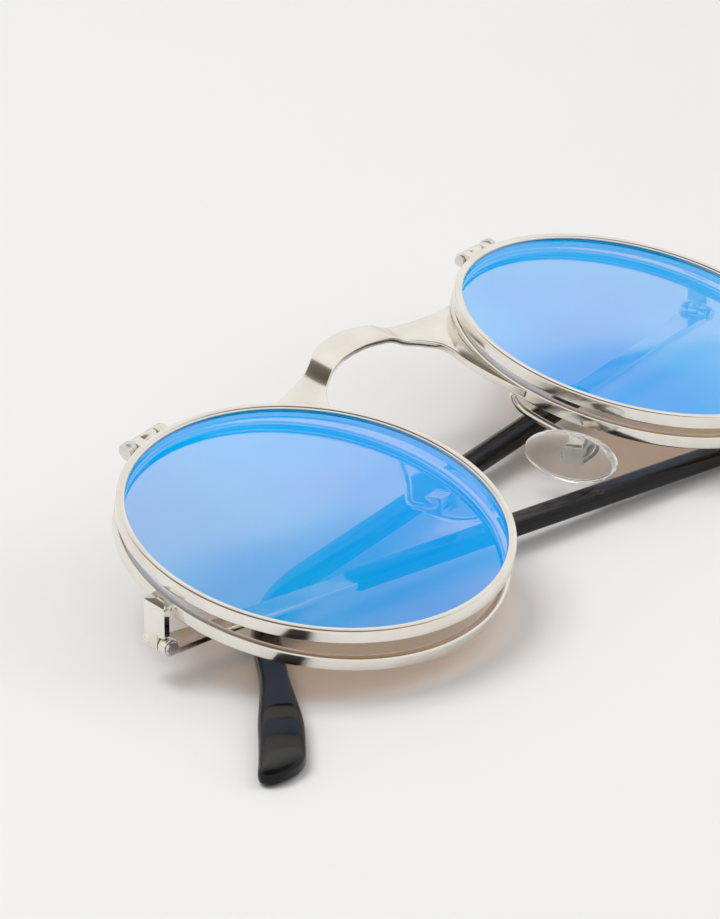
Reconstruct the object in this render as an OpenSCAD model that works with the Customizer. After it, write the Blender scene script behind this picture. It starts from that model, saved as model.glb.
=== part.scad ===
// Round flip up sunglasses, lying lens side up with both temples folded beneath.
// +X runs along the width, +Y to the wearer's brow and +Z out of the front of the lenses.
// The surface they lie on is z = 0. Lengths are in millimetres, angles in degrees.

/* [Eyes] */
// Clear diameter of a lens, measured inside its rim
lens_d = 47; // [43:0.5:50]
// Distance between the two lens centres
eye_pitch = 73.8; // [70:0.1:80]
// Angle that each eye turns back from the flat of the front
wrap = 3; // [0:0.5:5]
// Angle between the front and the surface that the folded temples lie on
tilt = 14; // [12:0.5:16]
// Height of the middle of the front above the surface
front_h = 11; // [10.5:0.1:13]

/* [Rims] */
// Width of the rim wire, from lens to outer edge
rim_w = 1.1; // [0.9:0.05:1.6]
// Height of the fixed rim
rim_h = 1.8; // [1.6:0.05:2.4]
// Height of the flip up rim
flip_h = 1.8; // [1.6:0.05:2.4]
// Bevel along each edge of the rims
rim_bevel = 0.25; // [0.1:0.05:0.4]
// Gap between the two rims when the flip is shut
shut_gap = 0.1; // [0.05:0.01:0.2]

/* [Lenses] */
// Thickness of the clear lens
clear_t = 1; // [0.8:0.05:1.1]
// Thickness of the mirrored lens
mirror_t = 0.9; // [0.7:0.05:1.1]
// Depth of the lens groove in the rim
groove_d = 0.45; // [0.3:0.05:0.6]
// Depth of the mirrored lens below the top of its rim
mirror_drop = 0.4; // [0.25:0.05:0.5]

/* [Flip hinges] */
// Angle at which the left flip stands open at rest
left_flip_rest = 2.8; // [0:0.1:8]
// Angle at which the right flip stands open at rest
right_flip_rest = 1.4; // [0:0.1:8]
// Radius of the flip hinge knuckles
flip_knuckle_r = 1; // [0.9:0.05:1.3]
// Length of the middle knuckle, fixed to the front
flip_mid_l = 2.6; // [2:0.1:4]
// Length of each outer knuckle, carried by the flip up rim
flip_side_l = 1.7; // [1.2:0.1:3]
// Radius of the flip hinge screw
flip_screw_r = 0.45; // [0.4:0.05:0.6]
// Radius of the flip screw's round head
flip_head_r = 1.15; // [1:0.05:1.5]
// Length of the flip screw's round head
flip_head_l = 1.3; // [0.8:0.1:2]

/* [Bridge] */
// Thickness of the bridge strip
bridge_t = 1; // [0.8:0.05:1.4]
// Height of the brow edge of the bridge above the line of lens centres
bridge_top = 24.3; // [22:0.1:27]
// Height of the nose edge of the bridge above the line of lens centres
bridge_low = 20.3; // [17:0.1:21.5]
// Half the width of the raised middle of the bridge
bridge_mid = 6.6; // [5:0.1:7.5]
// Rise of the middle of the bridge above its ends
bridge_rise = 0.9; // [0.4:0.1:1.6]
// Depth of the bridge ends below the top of the fixed rim
bridge_drop = 0.35; // [0.2:0.05:0.6]
// Height above the line of lens centres at which a saddle meets its rim
saddle_end = 0.8; // [-2:0.1:3]

/* [Endpieces] */
// Width of the endpiece strip
end_w = 3; // [2.4:0.1:4]
// Thickness of the endpiece strip
end_t = 1; // [0.8:0.05:1.2]
// Reach of the endpiece beyond the rim
end_reach = 1.6; // [1.2:0.1:3]
// Height of the endpiece above the line of lens centres
end_y = 4.7; // [2:0.1:6]
// Drop from the top of the endpiece to the temple hinge axis
hinge_drop = 5.5; // [5.2:0.1:7]

/* [Temples] */
// Radius of the temple hinge knuckles
knuckle_r = 1.1; // [1:0.05:1.4]
// Length of the temple hinge over its three knuckles
hinge_l = 4.2; // [3.6:0.1:6]
// Length of the middle knuckle, fixed to the endpiece
hinge_mid_l = 1.5; // [1.2:0.1:1.8]
// Radius of the temple hinge screw
hinge_screw_r = 0.5; // [0.4:0.05:0.6]
// Thickness of the temple strip
strip_t = 0.9; // [0.7:0.05:1.0]
// Width of the bare temple strip
strip_w = 3; // [2.4:0.1:3.6]
// Width of the strip inside its plastic tip
core_w = 1.8; // [1.2:0.1:2.4]
// Length of the temple from its hinge axis to the start of the ear bend
straight_l = 93; // [85:1:105]
// Distance from the hinge axis to the start of the plastic tip
tip_start = 30; // [20:1:60]
// Radius of the ear bend
ear_r = 29; // [20:1:45]
// Angle of the ear bend
ear_angle = 41; // [25:1:50]
// Length of the temple beyond the ear bend
ear_l = 32.4; // [22:1:36]
// Width of the plastic tip along the straight
tip_w = 3.6; // [3.2:0.1:4.6]
// Thickness of the plastic tip
tip_t = 2.2; // [1.8:0.1:2.8]
// Greatest width of the rounded end of the tip
paddle_w = 5.6; // [4.6:0.1:7]
// Slant of the folded left temple away from the brow
left_slant = 14.7; // [8:0.5:16]
// Slant of the folded right temple away from the brow
right_slant = 0; // [-2:0.5:10]

/* [Nose pads] */
// Length of a nose pad
pad_l = 14; // [10:0.1:15]
// Width of a nose pad
pad_w = 7; // [6:0.1:8]
// Thickness of a nose pad
pad_t = 2.4; // [2:0.1:3]
// Place of the left pad's middle: how far in from the eye's middle, how far towards the brow, and its height
left_pad = [26.1, -2.8, 7.05];
// Place of the right pad's middle, in the same way
right_pad = [28.5, -8.5, 6.75];
// Lean of the pads: their cheek ends are turned up towards the front
pad_lean = 6; // [0:1:15]
// Side of the square pad box
box_w = 2.4; // [2:0.1:3]
// Radius of the pad arm wire
arm_r = 0.5; // [0.4:0.05:0.7]
// Radius of the pad screw
pad_screw_r = 0.4; // [0.35:0.05:0.5]

/* [Hidden] */
$fn = 96;

left = -1;
right = 1;
metal = "#d8d2c8";
steel = "#c4c2be";
lens_r = lens_d / 2;
rim_r = lens_r + rim_w;
// Clearance between a lens and the walls of its groove
lens_play = 0.04;
// Radial clearance of a screw in the knuckles that turn on it
run_play = 0.04;
// Gap between neighbouring knuckles along their axis
side_play = 0.08;
// Gap between a turning part and the fixed part beside it
swing_gap = 0.12;
// Overlap that fuses shapes of one piece
fuse = 0.2;
// Length that is longer than any cut it makes
far = 60;

// Place of the model in its frame: the middle of its outline is over the origin
box_shift = [5.562, 15.041, 0];

// Distance of the flip hinge axis from the lens centre
flip_y = rim_r + flip_knuckle_r + 0.4;
flip_z = shut_gap / 2;
flip_l = flip_mid_l + 2 * (flip_side_l + side_play);
// Sideways reach of the endpiece from the lens centre
end_x = rim_r + end_reach;
hinge_gap_l = hinge_mid_l / 2 + side_play;
// End of the ear bend in plan, from the hinge axis, and height of the strip's middle from it
ear_end = [straight_l + ear_r * sin(ear_angle), -ear_r * (1 - cos(ear_angle))];
strip_z = -knuckle_r + strip_t / 2;
// Sideways turn of the tip's rounded end, and how far its outer side runs on past the inner one
paddle_turn = 1.2;
paddle_skew = 0.8;
// Layers of the tip's rounded section: how far each is set in from the side, and its share of the height
tip_layers = [[0.55, 1], [0.2, 0.72], [0, 0.36]];

function flip_rest(s) = s == left ? left_flip_rest : right_flip_rest;
function slant(s) = s == left ? left_slant : right_slant;
function pad_at(s) = let (p = s == left ? left_pad : right_pad) [s * (eye_pitch / 2 - p.x), p.y, p.z];

// A point of one eye, given from its lens centre, carried into the frame of the whole model
function turn_y(p, a) = [p.x * cos(a) + p.z * sin(a), p.y, p.z * cos(a) - p.x * sin(a)];
function turn_x(p, a) = [p.x, p.y * cos(a) - p.z * sin(a), p.y * sin(a) + p.z * cos(a)];
function eye_point(s, p) = turn_x(turn_y(p, s * wrap) + [s * eye_pitch / 2, 0, 0], tilt) + [0, 0, front_h];

// Outer corner of the endpiece, and the temple hinge axis beneath it
function end_point(s) = eye_point(s, [s * end_x, end_y, 0]);
function hinge_point(s) = end_point(s) - [s * knuckle_r, 0, hinge_drop];

// Smooth curve through points, by the Catmull-Rom formula, with n steps between each two
function spline_at(a, b, c, d, t) =
    0.5 * (2 * b + (c - a) * t + (2 * a - 5 * b + 4 * c - d) * t * t + (3 * b - a - 3 * c + d) * t * t * t);
function spline(p, n) = [
    for (i = [0 : len(p) - 2], k = [0 : n - 1])
        spline_at(p[max(i - 1, 0)], p[i], p[i + 1], p[min(i + 2, len(p) - 1)], k / n),
    p[len(p) - 1]];

module front_place() {
    translate(box_shift + [0, 0, front_h]) rotate([tilt, 0, 0]) children();
}

module eye_place(s) {
    front_place() translate([s * eye_pitch / 2, 0, 0]) rotate([0, s * wrap, 0]) children();
}

module flip_place(s) {
    eye_place(s) translate([0, flip_y, flip_z]) rotate([-flip_rest(s), 0, 0]) children();
}

// The temple frame: its origin is on the hinge axis, and its x runs inward along the folded arm
module hinge_place(s) {
    translate(box_shift + hinge_point(s)) rotate([0, 0, s * slant(s)])
        mirror([s == right ? 1 : 0, 0, 0]) children();
}

module temple_place(s) {
    hinge_place(s) rotate([0, fold_slope, 0]) children();
}

// The folded temples slope down until their rounded ends lie on the surface
tip_reach = ear_end.x + (ear_l - paddle_w / 2) * cos(ear_angle) + paddle_turn * sin(ear_angle)
    + (paddle_w / 2 - tip_layers[0][0]) * norm([cos(ear_angle), paddle_skew * cos(ear_angle) + sin(ear_angle)]);
fold_slope = asin((hinge_point(left).z + strip_z - tip_t / 2) / tip_reach);

// The pad frame: its x points from the pad's middle towards the rim, and its y lies along the pad
module pad_place(s) {
    translate(box_shift + pad_at(s)) rotate([-pad_lean, 0, 0]) mirror([s == left ? 1 : 0, 0, 0]) children();
}

// Round wire from one point to another along a smooth curve, with flat ends square to its straight ends
wire_sides = 12;
wire_steps = 4;
wire_ref = [0, 1, 1];

function unit(v) = v / norm(v);
function wire_dir(p, i) = unit(p[min(i + 1, len(p) - 1)] - p[max(i - 1, 0)]);
function wire_ring(p, i, r) = let (d = wire_dir(p, i), u = unit(cross(d, wire_ref)), v = cross(d, u))
    [for (k = [0 : wire_sides - 1]) p[i] + r * (u * cos(k * 360 / wire_sides) + v * sin(k * 360 / wire_sides))];

module wire(start, knots, end, r) {
    p = concat([start], spline(knots, wire_steps), [end]);
    n = wire_sides;
    last = len(p) - 1;
    points = [for (i = [0 : last]) each wire_ring(p, i, r)];
    sides = [for (i = [0 : last - 1], k = [0 : n - 1]) let (a = i * n + k, b = i * n + (k + 1) % n)
        each [[a, a + n, b], [b, a + n, b + n]]];
    polyhedron(points, concat(sides, [[for (k = [0 : n - 1]) k], [for (k = [n - 1 : -1 : 0]) last * n + k]]));
}

// Section of a rim with bevelled edges and a groove for the lens, turned round the lens centre
module rim(h, groove_z, lens_t) {
    b = rim_bevel;
    g = lens_t / 2 + lens_play;
    rotate_extrude($fn = 180) polygon([
        [lens_r, b], [lens_r + b, 0], [rim_r - b, 0], [rim_r, b],
        [rim_r, h - b], [rim_r - b, h], [lens_r + b, h], [lens_r, h - b],
        [lens_r, groove_z + g], [lens_r + groove_d, groove_z + g],
        [lens_r + groove_d, groove_z - g], [lens_r, groove_z - g]]);
}

module lens(t) {
    cylinder(r = lens_r + groove_d - lens_play, h = t, center = true, $fn = 180);
}

module base_rim(s) {
    color(metal) eye_place(s) translate([0, 0, -rim_h]) rim(rim_h, rim_h / 2, clear_t);
}

module clear_lens(s) {
    color("#e8f1f4", 0.4) eye_place(s) translate([0, 0, -rim_h / 2]) lens(clear_t);
}

// The flip frame has its origin on the hinge axis, so the rim hangs towards the cheek from there
module flip_rim(s) {
    color(metal) flip_place(s) translate([0, -flip_y, shut_gap - flip_z])
        rim(flip_h, flip_h - mirror_drop - mirror_t / 2, mirror_t);
}

module mirror_lens(s) {
    color("#2f8fe6", 0.85) flip_place(s)
        translate([0, -flip_y, shut_gap - flip_z + flip_h - mirror_drop - mirror_t / 2]) lens(mirror_t);
}

// Round seat that leaves a hinge block flush with the outside of a rim
module rim_seat() {
    translate([0, -flip_y, 0]) cylinder(r = rim_r, h = far, center = true, $fn = 180);
}

module flip_bracket(s) {
    color(metal) eye_place(s) translate([0, flip_y, flip_z]) difference() {
        union() {
            rotate([0, 90, 0]) cylinder(r = flip_knuckle_r, h = flip_mid_l, center = true);
            translate([-flip_mid_l / 2, -flip_knuckle_r - 0.6, -flip_knuckle_r])
                cube([flip_mid_l, flip_knuckle_r + 0.6, flip_knuckle_r - swing_gap / 2]);
        }
        rotate([0, 90, 0]) cylinder(r = flip_screw_r, h = far, center = true);
        rim_seat();
    }
}

module flip_leaf(s) {
    x0 = flip_mid_l / 2 + side_play;
    color(metal) flip_place(s) difference() {
        union() {
            for (m = [0, 1]) mirror([m, 0, 0]) translate([x0, 0, 0]) {
                rotate([0, 90, 0]) cylinder(r = flip_knuckle_r, h = flip_side_l);
                translate([0, -flip_knuckle_r - 0.6, swing_gap / 2])
                    cube([flip_side_l, flip_knuckle_r + 0.6, flip_knuckle_r - swing_gap / 2]);
            }
            translate([-x0 - fuse, -flip_knuckle_r - 0.6, swing_gap / 2])
                cube([2 * (x0 + fuse), 0.6 - swing_gap, flip_knuckle_r - swing_gap / 2]);
        }
        rotate([0, 90, 0]) cylinder(r = flip_screw_r + run_play, h = far, center = true);
        rim_seat();
    }
}

// The head is on the temple side of the hinge, and the far end of the screw is riveted over
module flip_screw(s) {
    color(steel) eye_place(s) translate([0, flip_y, flip_z]) mirror([s == left ? 1 : 0, 0, 0])
        rotate([0, 90, 0]) {
            cylinder(r = flip_screw_r, h = flip_l + 2 * side_play, center = true);
            translate([0, 0, flip_l / 2 + side_play]) {
                cylinder(r = flip_head_r, h = flip_head_l - 0.3);
                translate([0, 0, flip_head_l - 0.3]) cylinder(r1 = flip_head_r, r2 = flip_head_r - 0.3, h = 0.3);
            }
            translate([0, 0, -flip_l / 2 - side_play - 0.4]) cylinder(r = flip_screw_r + 0.25, h = 0.4);
        }
}

// Plan of the right half of the bridge: brow edge out to the rim, then back along saddle and nose edge
bridge_brow = [[0, bridge_top], [3, bridge_top - 0.3], [5.6, bridge_top - 1.1], [8, bridge_top - 2.1],
    [11, bridge_top - 3], [15, bridge_top - 3.7], [19, bridge_top - 4.1], [24, bridge_top - 4.4]];
saddle_x = eye_pitch / 2 - rim_r;
bridge_nose = [[saddle_x + 0.3, saddle_end], [saddle_x - 0.2, saddle_end + 2.4], [saddle_x - 0.1, 6.4],
    [saddle_x + 0.3, 9.6], [saddle_x + 0.8, bridge_low - 8.2], [saddle_x + 0.5, bridge_low - 6],
    [saddle_x - 0.9, bridge_low - 4.1], [saddle_x - 3, bridge_low - 2.4], [5.7, bridge_low - 0.9],
    [2.9, bridge_low - 0.2], [0, bridge_low]];
bridge_steps = 5;

bridge_half = concat(spline(bridge_brow, bridge_steps),
    [[eye_pitch / 2, bridge_top - 6], [eye_pitch / 2, saddle_end]], spline(bridge_nose, bridge_steps));

module bridge_plan() {
    polygon(concat(bridge_half, [for (i = [len(bridge_half) - 2 : -1 : 1]) [-bridge_half[i].x, bridge_half[i].y]]));
}

// Side view of the bridge: its ends follow the wrap of the rims and its middle stands forward
module bridge_side() {
    end_in = (eye_pitch / 2 - bridge_mid - 2.4) * tan(wrap) - bridge_drop;
    top = [[-eye_pitch / 2, -bridge_drop], [-bridge_mid - 2.4, end_in], [-bridge_mid, end_in + bridge_rise],
        [bridge_mid, end_in + bridge_rise], [bridge_mid + 2.4, end_in], [eye_pitch / 2, -bridge_drop]];
    polygon(concat(top, [for (i = [len(top) - 1 : -1 : 0]) top[i] - [0, bridge_t]]));
}

module bridge() {
    color(metal) difference() {
        front_place() intersection() {
            translate([0, 0, -far / 2]) linear_extrude(far) bridge_plan();
            rotate([90, 0, 0]) linear_extrude(far, center = true) bridge_side();
        }
        for (s = [left, right]) eye_place(s) cylinder(r = rim_r, h = far, center = true, $fn = 180);
    }
}

// A flat tab off the rim, bent down square to the surface, with one knuckle rolled at its end
module endpiece(s) {
    p = end_point(s);
    h = hinge_point(s);
    wall_low = h.z + knuckle_r + swing_gap;
    wall_x = s == left ? p.x : p.x - end_t;
    color(metal) difference() {
        union() {
            eye_place(s) translate([s == left ? -end_x : 0, end_y - end_w / 2, -end_t]) cube([end_x, end_w, end_t]);
            translate(box_shift + [wall_x, p.y - end_w / 2, wall_low])
                cube([end_t, end_w, p.z - wall_low - end_w / 2 * sin(tilt) - end_t * 0.3]);
            hinge_place(s) {
                rotate([90, 0, 0]) cylinder(r = knuckle_r, h = hinge_mid_l, center = true);
                translate([-knuckle_r, -hinge_mid_l / 2, 0])
                    cube([strip_t, hinge_mid_l, knuckle_r + swing_gap + fuse]);
            }
        }
        eye_place(s) cylinder(r = rim_r, h = far, center = true, $fn = 180);
        hinge_place(s) rotate([90, 0, 0]) cylinder(r = hinge_screw_r, h = far, center = true);
    }
}

// Countersunk head on the cheek side
module temple_screw(s) {
    l = hinge_l + 0.1;
    color(steel) hinge_place(s) rotate([90, 0, 0]) difference() {
        union() {
            cylinder(r = hinge_screw_r, h = l, center = true);
            translate([0, 0, l / 2]) cylinder(r1 = hinge_screw_r + 0.4, r2 = hinge_screw_r + 0.3, h = 0.35);
        }
        translate([-far / 2, -0.1, l / 2 + 0.2]) cube([far, 0.2, 1]);
    }
}

module ear_place() {
    translate([ear_end.x, ear_end.y, strip_z]) rotate([0, 0, -ear_angle]) children();
}

function turn_back(v, a) = [v.x * cos(a) + v.y * sin(a), v.y * cos(a) - v.x * sin(a)];
bend_l = ear_r * ear_angle * PI / 180;
body_l = ear_l - paddle_w / 2;
bend_steps = 10;
paddle_steps = 12;
round_steps = 8;

// Half the width of the tip at a share u of the ear length, and how far its middle swings sideways
function paddle_half(u) = let (v = min(max((u - 0.25) / 0.5, 0), 1))
    tip_w / 2 + (paddle_w - tip_w) / 2 * v * v * (3 - 2 * v);
function paddle_mid(u) = paddle_turn * u * u * u;
// How much of the skew a place at share u has, and a point of the ear at half width w from its middle there
function skew_at(u) = let (v = max((u - 0.7) / 0.3, 0)) paddle_skew * v * v * (3 - 2 * v);
function paddle_side(u, x, w) = ear_side(x + skew_at(u) * w, paddle_mid(u) + w);

// The temple's middle line in plan at length t round the bend, and its sides at half width w
function bend_side(t, w) = let (a = t / ear_r * 180 / PI)
    [straight_l, 0] + [ear_r * sin(a), -ear_r * (1 - cos(a))] + turn_back([0, w], a);
function ear_side(x, w) = ear_end + turn_back([x, w], ear_angle);

// One side of the tip's outline, set in from its edge; m is 1 for the outer side and -1 for the inner
function tip_side(m, inset) = concat(
    [[tip_start, m * (tip_w / 2 - inset)]],
    [for (i = [0 : bend_steps]) bend_side(bend_l * i / bend_steps, m * (tip_w / 2 - inset))],
    [for (i = [1 : paddle_steps]) let (u = i / paddle_steps)
        paddle_side(u, u * body_l, m * (paddle_half(u) - inset))],
    [for (i = [1 : round_steps - 1]) let (a = 90 * i / round_steps, r = paddle_w / 2 - inset)
        paddle_side(1, body_l + r * sin(a), m * r * cos(a))]);
function tip_end(inset) = [ear_side(body_l + paddle_w / 2 - inset, paddle_mid(1))];

// One side of the metal core inside the tip
core_l = ear_l * 0.55;
function core_side(m) = concat(
    [[tip_start, m * core_w / 2]],
    [for (i = [0 : bend_steps]) bend_side(bend_l * i / bend_steps, m * core_w / 2)],
    [ear_side(core_l, m * core_w / 2)]);

function backwards(list) = [for (i = [len(list) - 1 : -1 : 0]) list[i]];

module tip_plan(inset) {
    polygon(concat(tip_side(1, inset), tip_end(inset), backwards(tip_side(-1, inset))));
}

// The strip in plan: two prongs for the outer knuckles, a taper, the bare strip and the core
module arm_plan() {
    root_x = knuckle_r + swing_gap;
    taper_l = 7;
    upper = [[0, hinge_gap_l], [0, hinge_l / 2], [root_x, hinge_l / 2], [root_x + taper_l, strip_w / 2],
        [tip_start, strip_w / 2]];
    lower = [for (q = upper) [q.x, -q.y]];
    polygon(concat([[root_x, hinge_gap_l]], upper, core_side(1), backwards(core_side(-1)), backwards(lower),
        [[root_x, -hinge_gap_l]]));
}

module temple_arm(s) {
    color(metal) temple_place(s) difference() {
        union() {
            for (m = [0, 1]) mirror([0, m, 0]) translate([0, (hinge_l / 2 + hinge_gap_l) / 2, 0])
                rotate([90, 0, 0]) cylinder(r = knuckle_r, h = hinge_l / 2 - hinge_gap_l, center = true);
            translate([0, 0, -knuckle_r]) linear_extrude(strip_t) arm_plan();
        }
        rotate([90, 0, 0]) cylinder(r = hinge_screw_r + run_play, h = far, center = true);
    }
}

module temple_tip(s) {
    color("#17171a") temple_place(s) translate([0, 0, strip_z]) difference() {
        for (layer = tip_layers) linear_extrude(tip_t * layer[1], center = true) tip_plan(layer[0]);
        linear_extrude(strip_t, center = true)
            polygon(concat([[tip_start - 1, core_w / 2]], core_side(1), backwards(core_side(-1)),
                [[tip_start - 1, -core_w / 2]]));
    }
}

// Pad parts, all from the pad's middle: the pad, the lug in its box, the box and the arm
box_x = pad_t / 2 + 0.35;
lug_w = 1;

// Layers of a pad: how far each is set in from the edge, and its share of the thickness
pad_layers = [[0, 0.35], [0.35, 0.7], [1, 1]];

module nose_pad(s) {
    color("#eef1f2", 0.5) pad_place(s) difference() {
        for (layer = pad_layers) rotate([0, 90, 0]) linear_extrude(pad_t * layer[1], center = true)
            scale([pad_w / 2 - layer[0], pad_l / 2 - layer[0]]) circle(r = 1, $fn = 48);
        translate([pad_t / 2 - 0.5, -1.6, -1.1]) cube([2, 3.2, 2.2]);
    }
}

module pad_insert(s) {
    color("#e6e6e2") pad_place(s) difference() {
        union() {
            translate([pad_t / 2 - 0.5, -1.6, -1.1]) cube([0.5, 3.2, 2.2]);
            translate([pad_t / 2 - fuse, -lug_w / 2, -lug_w / 2]) cube([box_x - pad_t / 2 + fuse + box_w / 2, lug_w, lug_w]);
            translate([box_x + box_w / 2, 0, 0]) cylinder(r = 0.8, h = lug_w, center = true);
        }
        translate([box_x + box_w / 2, 0, 0]) cylinder(r = pad_screw_r + run_play, h = far, center = true);
    }
}

module pad_box(s) {
    color(metal) pad_place(s) translate([box_x, 0, 0]) difference() {
        translate([0, -box_w / 2, -box_w / 2]) cube([box_w, box_w, box_w]);
        translate([-1, -box_w, -lug_w / 2 - side_play])
            cube([1 + box_w - 0.35, 2 * box_w, lug_w + 2 * side_play]);
        translate([box_w / 2, 0, 0]) cylinder(r = pad_screw_r, h = far, center = true);
    }
}

module pad_screw(s) {
    color(steel) pad_place(s) translate([box_x + box_w / 2, 0, 0]) {
        cylinder(r = pad_screw_r, h = box_w, center = true);
        translate([0, 0, -box_w / 2 - 0.3]) cylinder(r = pad_screw_r + 0.3, h = 0.3);
    }
}

// Arm from the underside of the rim, out in a small loop and in to the back of the pad box
arm_root_y = 3;
arm_root_r = rim_r - 0.5;
// Solder joint between an end of the arm and the face it meets
arm_joint = 0.01;

module pad_arm(s) {
    root_x = -s * sqrt(arm_root_r * arm_root_r - arm_root_y * arm_root_y);
    root = eye_point(s, [root_x, arm_root_y, -rim_h - arm_joint]);
    down = eye_point(s, [root_x, arm_root_y, -rim_h - 0.7]);
    back = pad_at(s) + [s * (box_x + box_w + arm_joint), 0, 0];
    mid = back.y + 0.45 * (root.y - back.y);
    color(metal) translate(box_shift) wire(root, [down, root + [s * 0.5, -1.1, -2.4],
        [back.x + s * 1.3, mid, back.z + 0.4], [back.x + s * 1.1, back.y + 0.9, back.z + 0.1],
        back + [s * 0.35, 0, 0]], back, arm_r);
}

base_rim(left);  // left_base_rim
base_rim(right);  // right_base_rim
clear_lens(left);  // left_clear_lens
clear_lens(right);  // right_clear_lens
bridge();
endpiece(left);  // left_endpiece
endpiece(right);  // right_endpiece
temple_screw(left);  // left_temple_screw
temple_screw(right);  // right_temple_screw
temple_arm(left);  // left_temple_arm
temple_arm(right);  // right_temple_arm
temple_tip(left);  // left_temple_tip
temple_tip(right);  // right_temple_tip
flip_rim(left);  // left_flip_rim
flip_rim(right);  // right_flip_rim
mirror_lens(left);  // left_mirror_lens
mirror_lens(right);  // right_mirror_lens
flip_bracket(left);  // left_flip_bracket
flip_bracket(right);  // right_flip_bracket
flip_leaf(left);  // left_flip_leaf
flip_leaf(right);  // right_flip_leaf
flip_screw(left);  // left_flip_screw
flip_screw(right);  // right_flip_screw
pad_arm(left);  // left_pad_arm
pad_arm(right);  // right_pad_arm
pad_box(left);  // left_pad_box
pad_box(right);  // right_pad_box
pad_screw(left);  // left_pad_screw
pad_screw(right);  // right_pad_screw
pad_insert(left);  // left_pad_insert
pad_insert(right);  // right_pad_insert
nose_pad(left);  // left_nose_pad
nose_pad(right);  // right_nose_pad
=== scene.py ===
"""Looks of the round flip up sunglasses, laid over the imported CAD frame.

Every measure in this file is in millimetres in the frame of the CAD model, and is turned into
metres only where a mesh is made. Left and right are the sides that the photograph shows.
"""

import logging
import math
from dataclasses import dataclass, field
from enum import Enum

import bmesh
import bpy
import numpy as np
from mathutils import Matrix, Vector


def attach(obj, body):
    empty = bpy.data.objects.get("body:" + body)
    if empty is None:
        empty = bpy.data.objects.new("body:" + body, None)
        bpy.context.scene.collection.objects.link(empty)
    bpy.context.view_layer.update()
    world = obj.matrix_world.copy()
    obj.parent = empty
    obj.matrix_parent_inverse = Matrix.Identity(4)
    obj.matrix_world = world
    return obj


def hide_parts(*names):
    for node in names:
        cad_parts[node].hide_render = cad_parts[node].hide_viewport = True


LOG = logging.getLogger("sunglasses")
MM = 0.001

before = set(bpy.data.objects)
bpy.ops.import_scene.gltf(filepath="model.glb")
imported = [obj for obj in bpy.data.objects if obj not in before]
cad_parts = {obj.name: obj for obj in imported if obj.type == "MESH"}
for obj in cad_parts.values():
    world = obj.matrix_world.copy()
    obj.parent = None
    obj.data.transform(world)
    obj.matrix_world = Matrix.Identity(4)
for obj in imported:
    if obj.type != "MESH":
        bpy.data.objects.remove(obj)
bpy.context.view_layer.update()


class Side(Enum):
    """A side of the glasses; the value is its sign along X."""

    LEFT = -1
    RIGHT = 1

    @property
    def word(self) -> str:
        """The side's name as the CAD nodes spell it."""
        return self.name.lower()


# Placement


def moved(x: float, y: float, z: float) -> np.ndarray:
    """A 4x4 matrix that moves by x, y and z."""
    matrix = np.eye(4)
    matrix[:3, 3] = (x, y, z)
    return matrix


def turned(axis: int, degrees: float) -> np.ndarray:
    """A 4x4 matrix that turns about one axis by the right-hand rule.

    Args:
        axis: 0, 1 or 2 for X, Y or Z.
        degrees: the angle.

    Returns:
        The matrix, with the cosine on the two other axes' diagonal and the sine across it.
    """
    angle = math.radians(degrees)
    first, second = (axis + 1) % 3, (axis + 2) % 3
    matrix = np.eye(4)
    matrix[first, first] = matrix[second, second] = math.cos(angle)
    matrix[second, first] = math.sin(angle)
    matrix[first, second] = -math.sin(angle)
    return matrix


def placed(matrix: np.ndarray, points: np.ndarray) -> np.ndarray:
    """Points of shape (n, 3) carried by a 4x4 matrix."""
    return points @ matrix[:3, :3].T + matrix[:3, 3]


@dataclass(frozen=True)
class Layout:
    """Sizes and places that all pieces share, the same as in the CAD source."""

    shift: tuple = (5.562, 15.041, 0.0)
    lens_r: float = 23.5
    rim_w: float = 1.1
    rim_h: float = 1.8
    shut_gap: float = 0.1
    eye_pitch: float = 73.8
    wrap: float = 3.0
    tilt: float = 14.0
    front_h: float = 11.0
    flip_reach: float = 1.4
    end_reach: float = 1.6
    end_y: float = 4.7
    hinge_drop: float = 5.5
    knuckle_r: float = 1.1
    left_flip_rest: float = 2.8
    right_flip_rest: float = 1.4
    left_slant: float = 14.7
    right_slant: float = 0.0

    @property
    def rim_r(self) -> float:
        """Outer radius of the rims."""
        return self.lens_r + self.rim_w

    def front(self) -> np.ndarray:
        """The frame of the front: its origin is midway between the lens centres."""
        return moved(*self.shift) @ moved(0, 0, self.front_h) @ turned(0, self.tilt)

    def eye(self, side: Side) -> np.ndarray:
        """The frame of one eye: its origin is the lens centre on the top plane of the fixed rim."""
        return self.front() @ moved(side.value * self.eye_pitch / 2, 0, 0) @ turned(1, side.value * self.wrap)

    def flip(self, side: Side) -> np.ndarray:
        """The frame of one flip up rim, with its origin at the lens centre on the rim's underside."""
        rest = self.left_flip_rest if side is Side.LEFT else self.right_flip_rest
        axis_y, axis_z = self.rim_r + self.flip_reach, self.shut_gap / 2
        hinge = self.eye(side) @ moved(0, axis_y, axis_z) @ turned(0, -rest)
        return hinge @ moved(0, -axis_y, self.shut_gap - axis_z)

    def hinge_point(self, side: Side) -> np.ndarray:
        """A point on the temple hinge axis, in the frame of the whole model."""
        corner = np.array([[side.value * (self.rim_r + self.end_reach), self.end_y, 0.0]])
        point = placed(self.eye(side), corner)[0]
        return point - np.array([side.value * self.knuckle_r, 0, self.hinge_drop])

    def temple(self, side: Side, slope: float) -> np.ndarray:
        """The frame of one temple: its origin is on the hinge axis and its X runs along the arm.

        Args:
            side: which temple.
            slope: angle in degrees at which the folded arm falls to the surface.

        Returns:
            The matrix; the right temple's is mirrored.
        """
        slant = self.left_slant if side is Side.LEFT else self.right_slant
        mirror = np.diag([-float(side.value), 1.0, 1.0, 1.0])
        hinge = moved(*self.hinge_point(side)) @ turned(2, side.value * slant)
        return hinge @ mirror @ turned(1, slope)


LAYOUT = Layout()


# Meshes


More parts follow.
